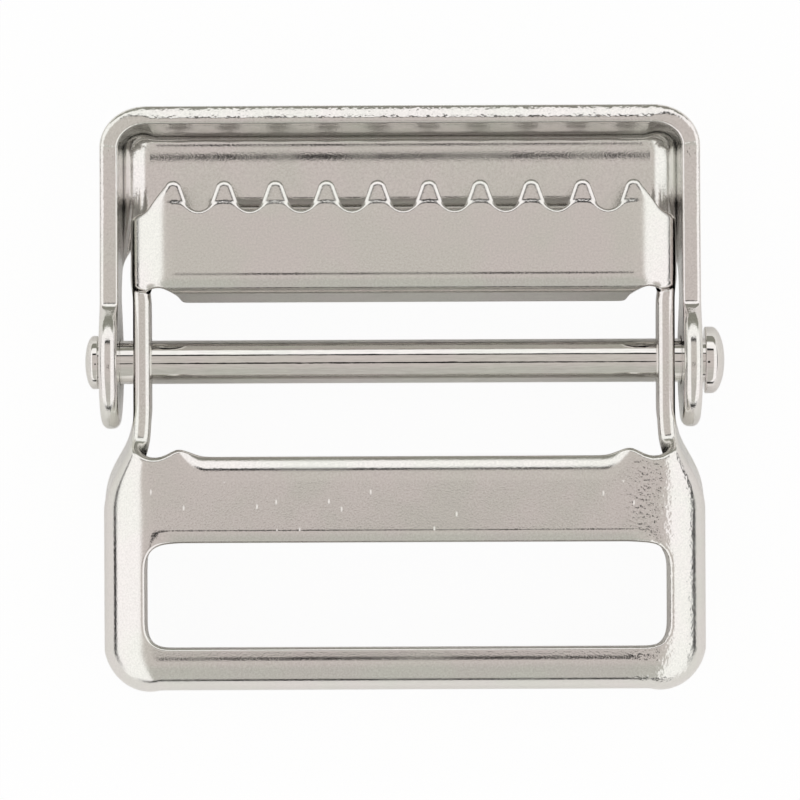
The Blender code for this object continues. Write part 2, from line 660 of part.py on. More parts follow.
def pin_profile():
    """Half outline of the pin from its peened end to its head, as places along x and radii."""
    peen = dome(PEEN_X, PIN_PEEN_DIAMETER / 2, -PIN_PEEN_HEIGHT)
    shank = [(PEEN_X, PIN_DIAMETER / 2), (HEAD_X, PIN_DIAMETER / 2)]
    return list(reversed(peen)) + shank + dome(HEAD_X, PIN_HEAD_DIAMETER / 2, PIN_HEAD_HEIGHT)


def turned(name, profile, sides):
    """Solid of revolution about the x axis, with a point at each end of its profile."""
    points = [(profile[0][0], 0.0, 0.0)]
    for x, radius in profile[1:-1]:
        for index in range(sides):
            turn = math.tau * index / sides
            points.append((x, radius * math.cos(turn), radius * math.sin(turn)))
    points.append((profile[-1][0], 0.0, 0.0))
    faces = []
    for index in range(sides):
        after = (index + 1) % sides
        faces.append([0, 1 + after, 1 + index])
        for ring in range(len(profile) - 3):
            low = 1 + ring * sides
            faces.append([low + index, low + after, low + sides + after, low + sides + index])
        last = 1 + (len(profile) - 3) * sides
        faces.append([last + index, last + after, len(points) - 1])
    return piece(name, points, faces)


def main():
    for old in list(bpy.data.objects):
        bpy.data.objects.remove(old, do_unlink=True)
    frame = press("toothed_frame", frame_outline(), frame_holes(), frame_creases(), form_frame, FRAME_SHEET)
    cover = press("cover", cover_outline(), cover_holes(), cover_creases(), form_cover, COVER_SHEET)
    pin = turned("pivot_pin", pin_profile(), PIN_SIDES)

    # The origin lies under the middle of the whole buckle as it lies face up
    lowest_y = min(vertex.co.y for vertex in frame.data.vertices)
    highest_y = max(vertex.co.y for vertex in cover.data.vertices)
    lowest_z = min(vertex.co.z for made in (frame, cover) for vertex in made.data.vertices)
    middle_x = (PEEN_X - PIN_PEEN_HEIGHT + HEAD_X + PIN_HEAD_HEIGHT) / 2
    axis = Vector((-middle_x, -(lowest_y + highest_y) / 2, -lowest_z))
    frame.location = axis
    pin.location = axis
    cover.location = axis + Vector((COVER_SIDE_SHIFT, 0.0, 0.0))


main()
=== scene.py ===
# Finished look of the toothed clamp buckle slider, in metres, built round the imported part.
# The two pressings are drawn again as flat blanks with softened edges and then formed, as the
# part itself is but much finer, and the pin is turned again. All three are drawn about the pin axis.

import json
import math

import bpy
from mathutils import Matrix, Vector
from mathutils.geometry import delaunay_2d_cdt
from mathutils.kdtree import KDTree


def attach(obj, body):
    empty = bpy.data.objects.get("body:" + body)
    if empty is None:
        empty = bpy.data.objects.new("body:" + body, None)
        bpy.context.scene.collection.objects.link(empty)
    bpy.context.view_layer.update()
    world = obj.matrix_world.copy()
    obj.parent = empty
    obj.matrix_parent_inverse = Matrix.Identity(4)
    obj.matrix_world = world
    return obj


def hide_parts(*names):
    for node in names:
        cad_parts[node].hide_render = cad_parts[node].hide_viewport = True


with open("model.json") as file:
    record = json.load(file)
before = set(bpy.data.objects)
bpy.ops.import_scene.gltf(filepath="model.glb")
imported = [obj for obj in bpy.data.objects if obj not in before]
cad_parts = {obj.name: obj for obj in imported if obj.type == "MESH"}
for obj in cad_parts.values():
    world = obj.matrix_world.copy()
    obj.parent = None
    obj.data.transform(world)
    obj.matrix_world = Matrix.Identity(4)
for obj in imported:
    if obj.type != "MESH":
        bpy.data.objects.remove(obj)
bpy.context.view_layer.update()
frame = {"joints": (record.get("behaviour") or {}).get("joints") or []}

PIN_AXIS = Vector(frame["joints"][0]["pos_m"])
RIGHT_ANGLE = math.pi / 2

# Sheet and pin
FRAME_SHEET = 0.0011
COVER_SHEET = 0.0011
PIN_DIAMETER = 0.0026
PIN_HOLE_CLEARANCE = 0.00015
PIN_HEAD_DIAMETER = 0.0040
PIN_HEAD_HEIGHT = 0.0012
PIN_PEEN_DIAMETER = 0.0032
PIN_PEEN_HEIGHT = 0.0008
PIN_HEAD_GAP = 0.0003
PIN_PEEN_GAP = 0.0002
DOME_RIM_SHARE = 0.35

# Toothed frame, across; the webbing lies on the plate and passes through the slot
WEBBING_WIDTH = 0.0300
PLATE_SIDE_INSET = 0.00136
SLOT_SIDE_CLEARANCE = 0.00065
SLOT_INTO_BEND = 0.00066
PLATE_SHOULDER_RADIUS = 0.0034
PLATE_EDGE_RADIUS = 0.0010
ARM_BEND_RADIUS = 0.0010
BASE_SHOULDER_RADIUS = 0.00345
BASE_EDGE_RADIUS = 0.0021
FOOT_BEND_RADIUS = 0.0020
PLATE_FLARE = math.radians(4.5)
ARM_FLARE = math.radians(2.0)
BASE_FLARE = math.radians(2.4)
FOOT_FLARE = math.radians(1.5)
SKIRT_FLARE = math.radians(6.0)
SKIRT_LEAD = 0.0016
BASE_CORNER_RADIUS = 0.00035

# Toothed frame, along and through
PIN_TO_FRONT = 0.0030
FRAME_DEPTH = 0.0068
ARM_BEHIND_PIN = 0.0024
ARM_TAPER_ABOVE_PIN = 0.0024
ARM_BLEND = 0.0020
PLATE_ABOVE_PIN = 0.00346
PLATE_LIP_RADIUS = 0.0013
PLATE_LIP_ROLL = math.radians(70.0)
PLATE_LIP_STRAIGHT = 0.00175
PLATE_FACE = 0.00354
TOOTH_BEND_RADIUS = 0.0030
TOOTH_ROLL = math.radians(12.0)
TOOTH_STRAIGHT = 0.00142
TOOTH_PITCH = 0.00305
TOOTH_ROW_INSET = 0.0010
TOOTH_HEIGHT = 0.00184
TOOTH_TIP_RADIUS = 0.0005
TOOTH_VALLEY_RADIUS = 0.00075
TOOTH_CREASE_ABOVE_BEND = 0.00014
TOOTH_CREASE_RISE = 0.00036
TOOTH_CREASE_WIDTH = 0.00038
TOOTH_CREASE_DEPTH = 0.000033
BAR_BELOW_PIN = 0.00555
BAR_LIP_RADIUS = 0.0023
BAR_LIP_ROLL = math.radians(44.0)
BAR_FACE = 0.00295
SLOT_LIP_RADIUS = 0.0007
SLOT_LIP_ROLL = math.radians(20.0)
SLOT_LIP_STRAIGHT = 0.00058
SLOT_HEIGHT = 0.00615
SLOT_CORNER_RADIUS = 0.0012
SLOT_SIDE_SHIFT = 0.00017
FOOT_FACE = 0.00062
WAIST_ABOVE_BAR = 0.00106
WAIST_LENGTH = 0.0046
SHOULDER_DEPTH = 0.0024
SHOULDER_BELOW_BEND = 0.0002
END_FLANK_RISE = 0.00035
END_FLANK_OVER = 0.0005
LIP_END_INSET = 0.0016
PLATE_NOTCH_DEPTH = 0.0010
HORN_DROP = -0.00035
BAR_NOTCH_DEPTH = 0.0009
BAR_NOTCH_RISE = 0.0004
PLATE_LIP_FADE = 0.0024
BAR_LIP_FADE = 0.0024
BAR_LIP_RUNOUT = 0.0009

# Cover
EAR_RADIUS = 0.0040
EAR_SIDE_GAP = 0.00048
COVER_SIDE_SHIFT = -0.0002
EAR_DRAFT = math.radians(0.5)
SIDE_DRAFT = math.radians(4.0)
END_DRAFT = math.radians(8.0)
COVER_BEND_RADIUS = 0.0005
COVER_SIDE_BEND_RADIUS = 0.0016
COVER_CORNER_RADIUS = 0.00035
RIM_BELOW_FRONT = 0.0008
FLOOR_BEHIND_PIN = 0.0024
TOOTH_ROOM = 0.0023
FLOOR_FACE = 0.0031
COVER_LIP_RADIUS = 0.0013
COVER_LIP_ROLL = math.radians(45.0)
COVER_LIP_INSET = 0.0034
COVER_LIP_FADE = 0.0012
COVER_WAIST_RISE = 0.0001
COVER_WAIST_GAP = 0.0003
COVER_SWEEP_LENGTH = 0.00125
COVER_SWEEP_RISE = 0.00013

# Softened sheet edges: width across the sheet, depth into it, and 2 for a round or 1 for a chamfer
FRAME_EDGE = (0.00030, 0.00030, 2.0)
ARM_EDGE = (0.00045, 0.00045, 2.0)
SLOT_EDGE = (0.00026, 0.00026, 2.0)
TOOTH_EDGE = (0.00042, 0.00016, 2.0)
TOOTH_EDGE_BLEND = 0.0010
COVER_INNER_EDGE = (0.00016, 0.00016, 2.0)
COVER_SIDE_EDGE = (0.00024, 0.00030, 2.0)
COVER_END_EDGE = (0.00028, 0.00085, 1.3)
EAR_EDGE = (0.00048, 0.00048, 2.0)
EAR_EDGE_BLEND = 0.0010
HOLE_EDGE = (0.00012, 0.00012, 2.0)
PIN_EDGE = 0.00008
PIN_SHARP_ANGLE = math.radians(40.0)

# Fineness of the meshes
OUTLINE_STEP = 0.00014
CREASE_STEP = 0.00009
CREASE_ROWS = 4
TOOTH_STEP = 0.00006
SOFTEN_PASSES = 10
GRID_STEP = 0.00026
GRID_SHIFT = 0.25
EDGE_CLEARANCE = 0.00014
FOLD_ROWS = 8
EDGE_STEPS = 6
CURVE_STEPS = 16
TOOTH_ARC_STEPS = 8
HOLE_SIDES = 72
PIN_SIDES = 96
NORMAL_STEP = 0.000002
MERGE_DISTANCE = 0.0000001


def mix(low, high, share):
    """Value a share of the way from low to high."""
    return low + (high - low) * share


def ease(share):
    """Smooth step from 0 to 1."""
    share = min(max(share, 0.0), 1.0)
    return share * share * (3.0 - 2.0 * share)


def steps(low, high, count):
    """Evenly spaced values from low to high, both included."""
    return [mix(low, high, index / count) for index in range(count + 1)]


def bend(distance, radii, angle):
    """Run and drop of a face at a distance past the start of a bend, half its angle to each radius."""
    if distance <= 0.0:
        return distance, 0.0
    run = 0.0
    drop = 0.0
    turned = 0.0
    for radius in radii:
        before = turned
        turned += min(distance / radius, angle / 2)
        run += radius * (math.sin(turned) - math.sin(before))
        drop += radius * (math.cos(before) - math.cos(turned))
        distance -= radius * (turned - before)
    return run + distance * math.cos(turned), drop + distance * math.sin(turned)


def arc_length(share, radii, angle):
    """Distance past the start of a bend at which it has turned through that share of its angle."""
    return angle * (radii[0] * min(share, 0.5) + radii[1] * max(share - 0.5, 0.0))


def bend_length(drop, radii, angle):
    """Distance past the start of a bend at which the face has dropped that far."""
    length = 0.0
    turned = 0.0
    for radius in radii:
        arc_drop = radius * (math.cos(turned) - math.cos(turned + angle / 2))
        if drop <= arc_drop:
            return length + radius * (math.acos(math.cos(turned) - drop / radius) - turned)
        drop -= arc_drop
        length += radius * angle / 2
        turned += angle / 2
    return length + drop / math.sin(angle)


def setback(radii, angle):
    """Distance from the start of a bend to the corner where the planes on its two sides meet."""
    run, drop = bend(arc_length(1.0, radii, angle), radii, angle)
    return run - drop / math.tan(angle)


def even(radius):
    """Radii of a bend that turns evenly."""
    return radius, radius


def mirrored(right):
    """Closed outline from its right half, which runs from the lower middle to the upper middle."""
    left = [(-u, v) for u, v in reversed(right) if u > 0.0]
    return right + left


def both_sides(lines):
    """Lines on the right and their mirror images, which keep the way a loop turns."""
    return lines + [[(-u, v) for u, v in reversed(line)] for line in lines]


# Blank outlines

def resampled(loop, is_tooth):
    """The closed outline again, with points at even steps that are closer along the teeth."""
    corners = [Vector(point) for point in loop]
    points = []
    due = 0.0
    for index, start in enumerate(corners):
        end = corners[(index + 1) % len(corners)]
        side = (end - start).length
        while due < side:
            points.append(start.lerp(end, due / side))
            due += TOOTH_STEP if is_tooth(points[-1]) else OUTLINE_STEP
        due -= side
    if due < OUTLINE_STEP / 2:
        points.pop()
    return points


def softened(loop, is_tooth):
    """The outline with its corners rounded off, except along the teeth, which are drawn round."""
    points = resampled(loop, is_tooth)
    fixed = [is_tooth(point) for point in points]
    for _ in range(SOFTEN_PASSES):
        count = len(points)
        points = [points[i] if fixed[i] else
                  (points[i - 1] + points[i] * 2.0 + points[(i + 1) % count]) / 4.0
                  for i in range(count)]
    return points


def outward(points, way):
    """Unit vectors in the blank that point away from the sheet along an outline."""
    count = len(points)
    found = []
    for i in range(count):
        along = (points[(i + 1) % count] - points[i - 1]).normalized()
        found.append(Vector((along.y, -along.x)) * way)
    return found


# Forming

def sheet_point(form, flat, depth, facing):
    """Point of the formed sheet at a depth behind its face, and its normal there.
    facing is the normal in the flat blank, as parts across, along and out of the sheet."""
    u, v = flat
    along_u = (form(u + NORMAL_STEP, v) - form(u - NORMAL_STEP, v)) / (2 * NORMAL_STEP)
    along_v = (form(u, v + NORMAL_STEP) - form(u, v - NORMAL_STEP)) / (2 * NORMAL_STEP)
    face = along_u.cross(along_v)
    out = face.normalized()
    normal = along_v.cross(out) * facing[0] + out.cross(along_u) * facing[1] + face * facing[2]
    return form(u, v) - out * depth, normal.normalized()


def skin(loops, extra):
    """Triangles of a blank inside its inset outlines. The outlines' points come first."""
    points = [point for loop in loops for point in loop]
    numbered = []
    first = 0
    for loop in loops:
        numbered.append(list(range(first, first + len(loop))))
        first += len(loop)
    tree = KDTree(len(points))
    for index, point in enumerate(points):
        tree.insert((point[0], point[1], 0.0), index)
    tree.balance()
    inner = [point for point in extra if tree.find((point[0], point[1], 0.0))[2] > EDGE_CLEARANCE]
    flat, _, triangles, origins, _, owners = delaunay_2d_cdt(
        points + [Vector(point) for point in inner], [], numbered, 0, MERGE_DISTANCE)
    kept = [list(tri) for tri, owner in zip(triangles, owners) if list(owner) == [0]]
    place = {}
    for made, came_from in enumerate(origins):
        for index in came_from:
            place[index] = made
    outline_places = [[place[index] for index in loop] for loop in numbered]
    return flat, kept, outline_places


def press(name, loops, edges, extra, form, sheet):
    """Formed sheet with softened edges; each loop's function gives the edge sizes in front and behind."""
    ways = [1.0] + [-1.0] * (len(loops) - 1)
    outs = [outward(loop, way) for loop, way in zip(loops, ways)]
    rounds = [[edge(point) for point in loop] for loop, edge in zip(loops, edges)]
    points = []
    normals = []
    faces = []

    def add(flat, depth, facing):
        """Number of a new point of the formed sheet."""
        place, normal = sheet_point(form, flat, depth, facing)
        points.append(place)
        normals.append(normal)
        return len(points) - 1

    borders = []
    for side, depth, facing in ((0, 0.0, (0.0, 0.0, 1.0)), (1, sheet, (0.0, 0.0, -1.0))):
        inset = [[point - out * sizes[side][0] for point, out, sizes in zip(*row)]
                 for row in zip(loops, outs, rounds)]
        flat, triangles, outlines = skin(inset, extra)
        used = sorted({index for tri in triangles for index in tri})
        place = {index: add(flat[index], depth, facing) for index in used}
        for tri in triangles:
            corners = [place[index] for index in tri]
            faces.append(corners if side == 0 else corners[::-1])
        borders.append([[place[index] for index in outline] for outline in outlines])

    for row, way, front, back in zip(zip(loops, outs, rounds), ways, *borders):
        rings = [front]
        for side in (0, 1):
            turns = steps(0.0, RIGHT_ANGLE, EDGE_STEPS)[1:]
            for turn in turns if side == 0 else turns[::-1]:
                ring = []
                for point, out, sizes in zip(*row):
                    width, drop, power = sizes[side]
                    flat = point - out * width * (1.0 - math.sin(turn) ** (2.0 / power))
                    depth = drop * (1.0 - math.cos(turn) ** (2.0 / power))
                    aside = out * drop * math.sin(turn) ** (2.0 - 2.0 / power)
                    rise = width * math.cos(turn) ** (2.0 - 2.0 / power)
                    if side == 1:
                        depth = sheet - depth
                        rise = -rise
                    ring.append(add(flat, depth, (aside.x, aside.y, rise)))
                rings.append(ring)
        rings.append(back)
        for upper, lower in zip(rings, rings[1:]):
            for i in range(len(upper)):
                after = (i + 1) % len(upper)
                quad = [upper[i], lower[i], lower[after], upper[after]]
                faces.append(quad if way > 0 else quad[::-1])
    return made_piece(name, points, faces, normals)


def made_piece(name, points, faces, normals):
    """Smooth mesh object at the pin axis."""
    mesh = bpy.data.meshes.new(name)
    mesh.from_pydata(points, [], faces)
    mesh.shade_smooth()
    mesh.normals_split_custom_set_from_vertices(normals)
    made = bpy.data.objects.new(name, mesh)
    made.location = PIN_AXIS
    bpy.context.scene.collection.objects.link(made)
    return made


def grid(left, right, low, high):
    """Points of an even grid over a stretch of the blank, set off by half a step in every other row."""
    points = []
    rows = round((high - low) / GRID_STEP)
    columns = round((right - left) / GRID_STEP)
    for row in range(rows + 1):
        shift = GRID_SHIFT if row % 2 else -GRID_SHIFT
        for column in range(columns + 1):
            points.append((left + (column + shift) * GRID_STEP, low + row * GRID_STEP))
    return points


# Toothed frame
BACK_Z = PIN_TO_FRONT - FRAME_DEPTH
HOLE_RADIUS = PIN_DIAMETER / 2 + PIN_HOLE_CLEARANCE
PLATE_FLAT_WIDTH = WEBBING_WIDTH - 2 * PLATE_SIDE_INSET
SLOT_WIDTH = WEBBING_WIDTH + 2 * SLOT_SIDE_CLEARANCE
BASE_FLAT_WIDTH = SLOT_WIDTH - 2 * SLOT_INTO_BEND
PLATE_RADII = (PLATE_SHOULDER_RADIUS, PLATE_EDGE_RADIUS)
BASE_RADII = (BASE_SHOULDER_RADIUS, BASE_EDGE_RADIUS)
PLATE_CORNER_HALF = PLATE_FLAT_WIDTH / 2 + setback(PLATE_RADII, RIGHT_ANGLE - PLATE_FLARE)
BASE_CORNER_HALF = BASE_FLAT_WIDTH / 2 + setback(BASE_RADII, RIGHT_ANGLE - BASE_FLARE)
PLATE_LIP_LENGTH = PLATE_LIP_RADIUS * PLATE_LIP_ROLL + PLATE_LIP_STRAIGHT
PLATE_LIP_Y = PLATE_ABOVE_PIN + bend(PLATE_LIP_LENGTH, even(PLATE_LIP_RADIUS), PLATE_LIP_ROLL)[0]
TOOTH_BEND_Y = PLATE_LIP_Y + PLATE_FACE
TOOTH_LENGTH = TOOTH_BEND_RADIUS * TOOTH_ROLL + TOOTH_STRAIGHT
TOOTH_TIP_V = TOOTH_BEND_Y + TOOTH_LENGTH
TOOTH_TIP_Y = TOOTH_BEND_Y + bend(TOOTH_LENGTH, even(TOOTH_BEND_RADIUS), TOOTH_ROLL)[0]
BAR_LIP_LENGTH = BAR_LIP_RADIUS * BAR_LIP_ROLL
BAR_LIP_Y = -BAR_BELOW_PIN - BAR_LIP_RADIUS * math.sin(BAR_LIP_ROLL)
SLOT_LIP_LENGTH = SLOT_LIP_RADIUS * SLOT_LIP_ROLL + SLOT_LIP_STRAIGHT
SLOT_LIP_REACH = bend(SLOT_LIP_LENGTH, even(SLOT_LIP_RADIUS), SLOT_LIP_ROLL)[0]
SLOT_LIP_FADE = 2 * SLOT_CORNER_RADIUS
SLOT_LIP_Y = BAR_LIP_Y - BAR_FACE
SLOT_TOP_V = SLOT_LIP_Y - SLOT_LIP_LENGTH
SLOT_BOTTOM_Y = SLOT_LIP_Y - SLOT_LIP_REACH - SLOT_HEIGHT
FOOT_BEND_Y = SLOT_BOTTOM_Y - FOOT_FACE
WINDOW_TOP_V = PLATE_LIP_Y - PLATE_LIP_LENGTH
WINDOW_BOTTOM_V = BAR_LIP_Y + BAR_LIP_LENGTH
WAIST_TOP_Y = WINDOW_BOTTOM_V + WAIST_ABOVE_BAR
WAIST_BOTTOM_Y = WAIST_TOP_Y - WAIST_LENGTH
SKIRT_TOP_Y = WAIST_TOP_Y + SKIRT_LEAD
SHOULDER_Y = TOOTH_BEND_Y - SHOULDER_BELOW_BEND
TOOTH_GAPS = int((WEBBING_WIDTH - 2 * TOOTH_ROW_INSET) / TOOTH_PITCH)
END_TOOTH_U = TOOTH_GAPS * TOOTH_PITCH / 2
END_FLANK_U = WEBBING_WIDTH / 2 + END_FLANK_OVER
LIP_END_U = WEBBING_WIDTH / 2 - LIP_END_INSET
PLATE_LIP_FADE_U = LIP_END_U + PLATE_LIP_FADE
BAR_LIP_FADE_U = LIP_END_U + BAR_LIP_RUNOUT
NOTCH_U = WEBBING_WIDTH / 2
NOTCH_TOP_V = PLATE_LIP_Y - PLATE_NOTCH_DEPTH
CORNER_U = BASE_FLAT_WIDTH / 2 - BASE_CORNER_RADIUS
CORNER_Y = FOOT_BEND_Y + BASE_CORNER_RADIUS


def waist(y):
    """0 at the arms and 1 at the wide base."""
    return ease((WAIST_TOP_Y - y) / WAIST_LENGTH)


def arm(y):
    """0 at the toothed plate and 1 along the arms."""
    return ease((PLATE_LIP_Y - y) / ARM_BLEND)


def skirt(y):
    """1 in the middle of the waist, where the flange's back edge leads its bend, and 0 beyond it."""
    share = min(max((y - WAIST_BOTTOM_Y) / (SKIRT_TOP_Y - WAIST_BOTTOM_Y), 0.0), 1.0)
    return math.sin(math.pi * share) ** 2


def flange_angle(y):
    """Angle that the side flange is bent through."""
    flare = mix(mix(PLATE_FLARE, ARM_FLARE, arm(y)), BASE_FLARE, waist(y))
    return RIGHT_ANGLE - flare - SKIRT_FLARE * skirt(y)


def flange_radii(y):
    """Outer radii of the side flange's bend, tighter along the arms."""
    return [mix(mix(plate, ARM_BEND_RADIUS, arm(y)), base, waist(y))
            for plate, base in zip(PLATE_RADII, BASE_RADII)]


def frame_half(y):
    """Half width of the frame's flat face, which keeps the arms' flanges straight."""
    corner = mix(PLATE_CORNER_HALF, BASE_CORNER_HALF, waist(y))
    return corner - setback(flange_radii(y), flange_angle(y))


def corner_radii(turn):
    """Outer radii of the bend round a base corner, from the side to the foot."""
    return [mix(base, FOOT_BEND_RADIUS, turn / RIGHT_ANGLE) for base in BASE_RADII]


def corner_angle(turn):
    """Angle that the flange is bent through round a base corner, from the side to the foot."""
    return RIGHT_ANGLE - mix(BASE_FLARE, FOOT_FLARE, turn / RIGHT_ANGLE)


def flange_u(y, z):
    """Place across the blank where the side flange reaches height z."""
    return frame_half(y) + bend_length(PIN_TO_FRONT - z, flange_radii(y), flange_angle(y))


def flange_end(y, share):
    """Place across the blank where the side bend has turned through that share of its angle."""
    return frame_half(y) + arc_length(share, flange_radii(y), flange_angle(y))


def flange_back(y):
    """Height of the side flange's back edge."""
    if y < WAIST_TOP_Y:
        return mix(-ARM_BEHIND_PIN, BACK_Z, waist(y))
    rise = max(0.0, (y - ARM_TAPER_ABOVE_PIN) / (SHOULDER_Y - ARM_TAPER_ABOVE_PIN))
    return mix(-ARM_BEHIND_PIN, PIN_TO_FRONT - SHOULDER_DEPTH, rise)


def corner_point(turn, distance):
    """Blank point at a distance past the bend's start round the right base corner."""
    reach = BASE_CORNER_RADIUS + distance
    return CORNER_U + reach * math.cos(turn), CORNER_Y - reach * math.sin(turn)


def lip_share(across, end, fade):
    """1 along a rolled lip, falling to 0 at its end."""
    return ease((end - across) / fade)


def rolled_lips(across, v):
    """Start, direction, radius and angle of the roll that holds at a blank point, or None."""
    if 0.0 < v < PLATE_LIP_Y:
        share = lip_share(across, PLATE_LIP_FADE_U, PLATE_LIP_FADE)
        return PLATE_LIP_Y, -1.0, PLATE_LIP_RADIUS, PLATE_LIP_ROLL * share
    if BAR_LIP_Y < v <= 0.0:
        share = lip_share(across, BAR_LIP_FADE_U, BAR_LIP_FADE)
        start = mix(WINDOW_BOTTOM_V, BAR_LIP_Y, share)
        return start, 1.0, BAR_LIP_RADIUS, BAR_LIP_ROLL if share > 0.0 else 0.0
    if SLOT_TOP_V - SLOT_HEIGHT / 2 < v < SLOT_LIP_Y:
        share = lip_share(across, SLOT_WIDTH / 2 - SLOT_SIDE_SHIFT, SLOT_LIP_FADE)
        return SLOT_LIP_Y, -1.0, SLOT_LIP_RADIUS, SLOT_LIP_ROLL * share
    if v > TOOTH_BEND_Y:
        return TOOTH_BEND_Y, 1.0, TOOTH_BEND_RADIUS, TOOTH_ROLL
    return None


def crease_v(across):
    """Place along the blank where the crease below the teeth starts, higher under each tip."""
    wave = (1.0 - math.cos(math.tau * across / TOOTH_PITCH)) / 2
    return TOOTH_BEND_Y + TOOTH_CREASE_ABOVE_BEND + TOOTH_CREASE_RISE * wave


def crease_drop(across, v):
    """Drop of the teeth past the shallow crease below them."""
    share = lip_share(across, END_TOOTH_U + TOOTH_TIP_RADIUS, TOOTH_TIP_RADIUS)
    return TOOTH_CREASE_DEPTH * share * ease((v - crease_v(across)) / TOOTH_CREASE_WIDTH)


def tooth_creases():
    """Closer rows of blank points along the crease below the teeth."""
    points = []
    for u in steps(-END_TOOTH_U, END_TOOTH_U, round(2 * END_TOOTH_U / CREASE_STEP)):
        start = crease_v(u)
        points += [(u, v) for v in steps(start, start + TOOTH_CREASE_WIDTH, CREASE_ROWS)]
    return points


def form_frame(u, v):
    """Front face of the frame over a point of its blank."""
    across = abs(u)
    y = v
    if across > CORNER_U and v < CORNER_Y:
        turn = math.atan2(CORNER_Y - v, across - CORNER_U)
        reach = math.hypot(across - CORNER_U, CORNER_Y - v)
        run, drop = bend(reach - BASE_CORNER_RADIUS, corner_radii(turn), corner_angle(turn))
        x, y = corner_point(turn, run)
    elif v < FOOT_BEND_Y:
        run, drop = bend(FOOT_BEND_Y - v, even(FOOT_BEND_RADIUS), RIGHT_ANGLE - FOOT_FLARE)
        x = across
        y = FOOT_BEND_Y - run
    else:
        half = frame_half(v)
        run, drop = bend(across - half, flange_radii(v), flange_angle(v))
        x = half + run
        roll = rolled_lips(across, v)
        if roll:
            start, way, radius, angle = roll
            lip_run, lip_drop = bend((v - start) * way, even(radius), angle)
            y = start + way * lip_run
            drop += lip_drop
        drop += crease_drop(across, v)
    return Vector((math.copysign(x, u), y, PIN_TO_FRONT - drop))


def tooth_slope():
    """Slope angle of a tooth's flank, which runs from its rounded tip to the rounded valley."""
    across = TOOTH_PITCH / 2
    down = TOOTH_HEIGHT - TOOTH_TIP_RADIUS - TOOTH_VALLEY_RADIUS
    rounds = TOOTH_TIP_RADIUS + TOOTH_VALLEY_RADIUS
    return math.atan2(down, across) + math.asin(rounds / math.hypot(across, down))


def toothed_edge():
    """Right half of the blank's toothed edge, from the end tooth to the middle."""
    slope = tooth_slope()
    tip_v = TOOTH_TIP_V - TOOTH_TIP_RADIUS
    valley_v = TOOTH_TIP_V - TOOTH_HEIGHT + TOOTH_VALLEY_RADIUS
    flank = []
    for turn in steps(0.0, slope, TOOTH_ARC_STEPS):
        flank.append((TOOTH_TIP_RADIUS * math.sin(turn), tip_v + TOOTH_TIP_RADIUS * math.cos(turn)))
    for turn in steps(slope, 0.0, TOOTH_ARC_STEPS):
        across = TOOTH_PITCH / 2 - TOOTH_VALLEY_RADIUS * math.sin(turn)
        flank.append((across, valley_v - TOOTH_VALLEY_RADIUS * math.cos(turn)))
    end_arc = flank[1:TOOTH_ARC_STEPS]
    edge = [(END_TOOTH_U + across, v) for across, v in reversed(end_arc)]
    for gap in range(TOOTH_GAPS):
        tip_u = END_TOOTH_U - gap * TOOTH_PITCH
        edge += [(tip_u - across, v) for across, v in flank[:-1]]
        edge += [(tip_u - TOOTH_PITCH + across, v) for across, v in reversed(flank[1:])]
    return [(u, v) for u, v in edge if u > -MERGE_DISTANCE]


def frame_outline():
    """Blank outline of the frame."""
    foot = bend_length(FRAME_DEPTH, even(FOOT_BEND_RADIUS), RIGHT_ANGLE - FOOT_FLARE)
    right = [(0.0, FOOT_BEND_Y - foot)]
    for turn in steps(RIGHT_ANGLE, 0.0, CURVE_STEPS):
        depth = bend_length(FRAME_DEPTH, corner_radii(turn), corner_angle(turn))
        right.append(corner_point(turn, depth))
    side = steps(WAIST_BOTTOM_Y, SKIRT_TOP_Y, CURVE_STEPS) + [ARM_TAPER_ABOVE_PIN, SHOULDER_Y]
    right.extend((flange_u(y, flange_back(y)), y) for y in side)
    right.append((flange_end(SHOULDER_Y, 1.0), SHOULDER_Y))
    right.append((END_FLANK_U, SHOULDER_Y + END_FLANK_RISE))
    return mirrored(right + toothed_edge())


def window_outline():
    """Blank outline of the window between the plate and the cross bar, out to the arms."""
    arm_u = flange_end(0.0, 1.0)
    window = [(0.0, WINDOW_BOTTOM_V), (BAR_LIP_FADE_U - BAR_LIP_FADE, WINDOW_BOTTOM_V)]
    for share in steps(0.0, 1.0, CURVE_STEPS):
        dip = HORN_DROP + BAR_NOTCH_DEPTH * math.sin(math.pi * share) - BAR_NOTCH_RISE * share
        window.append((mix(LIP_END_U, arm_u, share), WINDOW_BOTTOM_V - dip))
    window += [(arm_u, 0.0), (arm_u, NOTCH_TOP_V)]
    for turn in steps(0.0, RIGHT_ANGLE, CURVE_STEPS):
        window.append((mix(NOTCH_U, LIP_END_U, math.sin(turn)),
                       mix(WINDOW_TOP_V, NOTCH_TOP_V, math.cos(turn))))
    window.append((0.0, WINDOW_TOP_V))
    return mirrored(window)


def slot_outline():
    """Blank outline of the webbing slot."""
    slot = []
    across = SLOT_WIDTH / 2 - SLOT_CORNER_RADIUS
    for middle, first in [(SLOT_BOTTOM_Y + SLOT_CORNER_RADIUS, -RIGHT_ANGLE),
                          (SLOT_TOP_V - SLOT_CORNER_RADIUS, 0.0)]:
        for turn in steps(first, first + RIGHT_ANGLE, CURVE_STEPS):
            slot.append((across + SLOT_CORNER_RADIUS * math.cos(turn),
                         middle + SLOT_CORNER_RADIUS * math.sin(turn)))
    return [(u + SLOT_SIDE_SHIFT, v) for u, v in mirrored(slot)]


def pin_holes(place):
    """Blank outlines of the two pin holes; place gives the place across the blank at a y and a z."""
    hole = []
    for index in range(HOLE_SIDES):
        turn = math.tau * index / HOLE_SIDES
        y = HOLE_RADIUS * math.sin(turn)
        hole.append((place(y, HOLE_RADIUS * math.cos(turn)), y))
    return both_sides([hole])


def edge_mix(low, high, share):
    """Edge sizes a share of the way from low to high."""
    return [mix(least, most, share) for least, most in zip(low, high)]


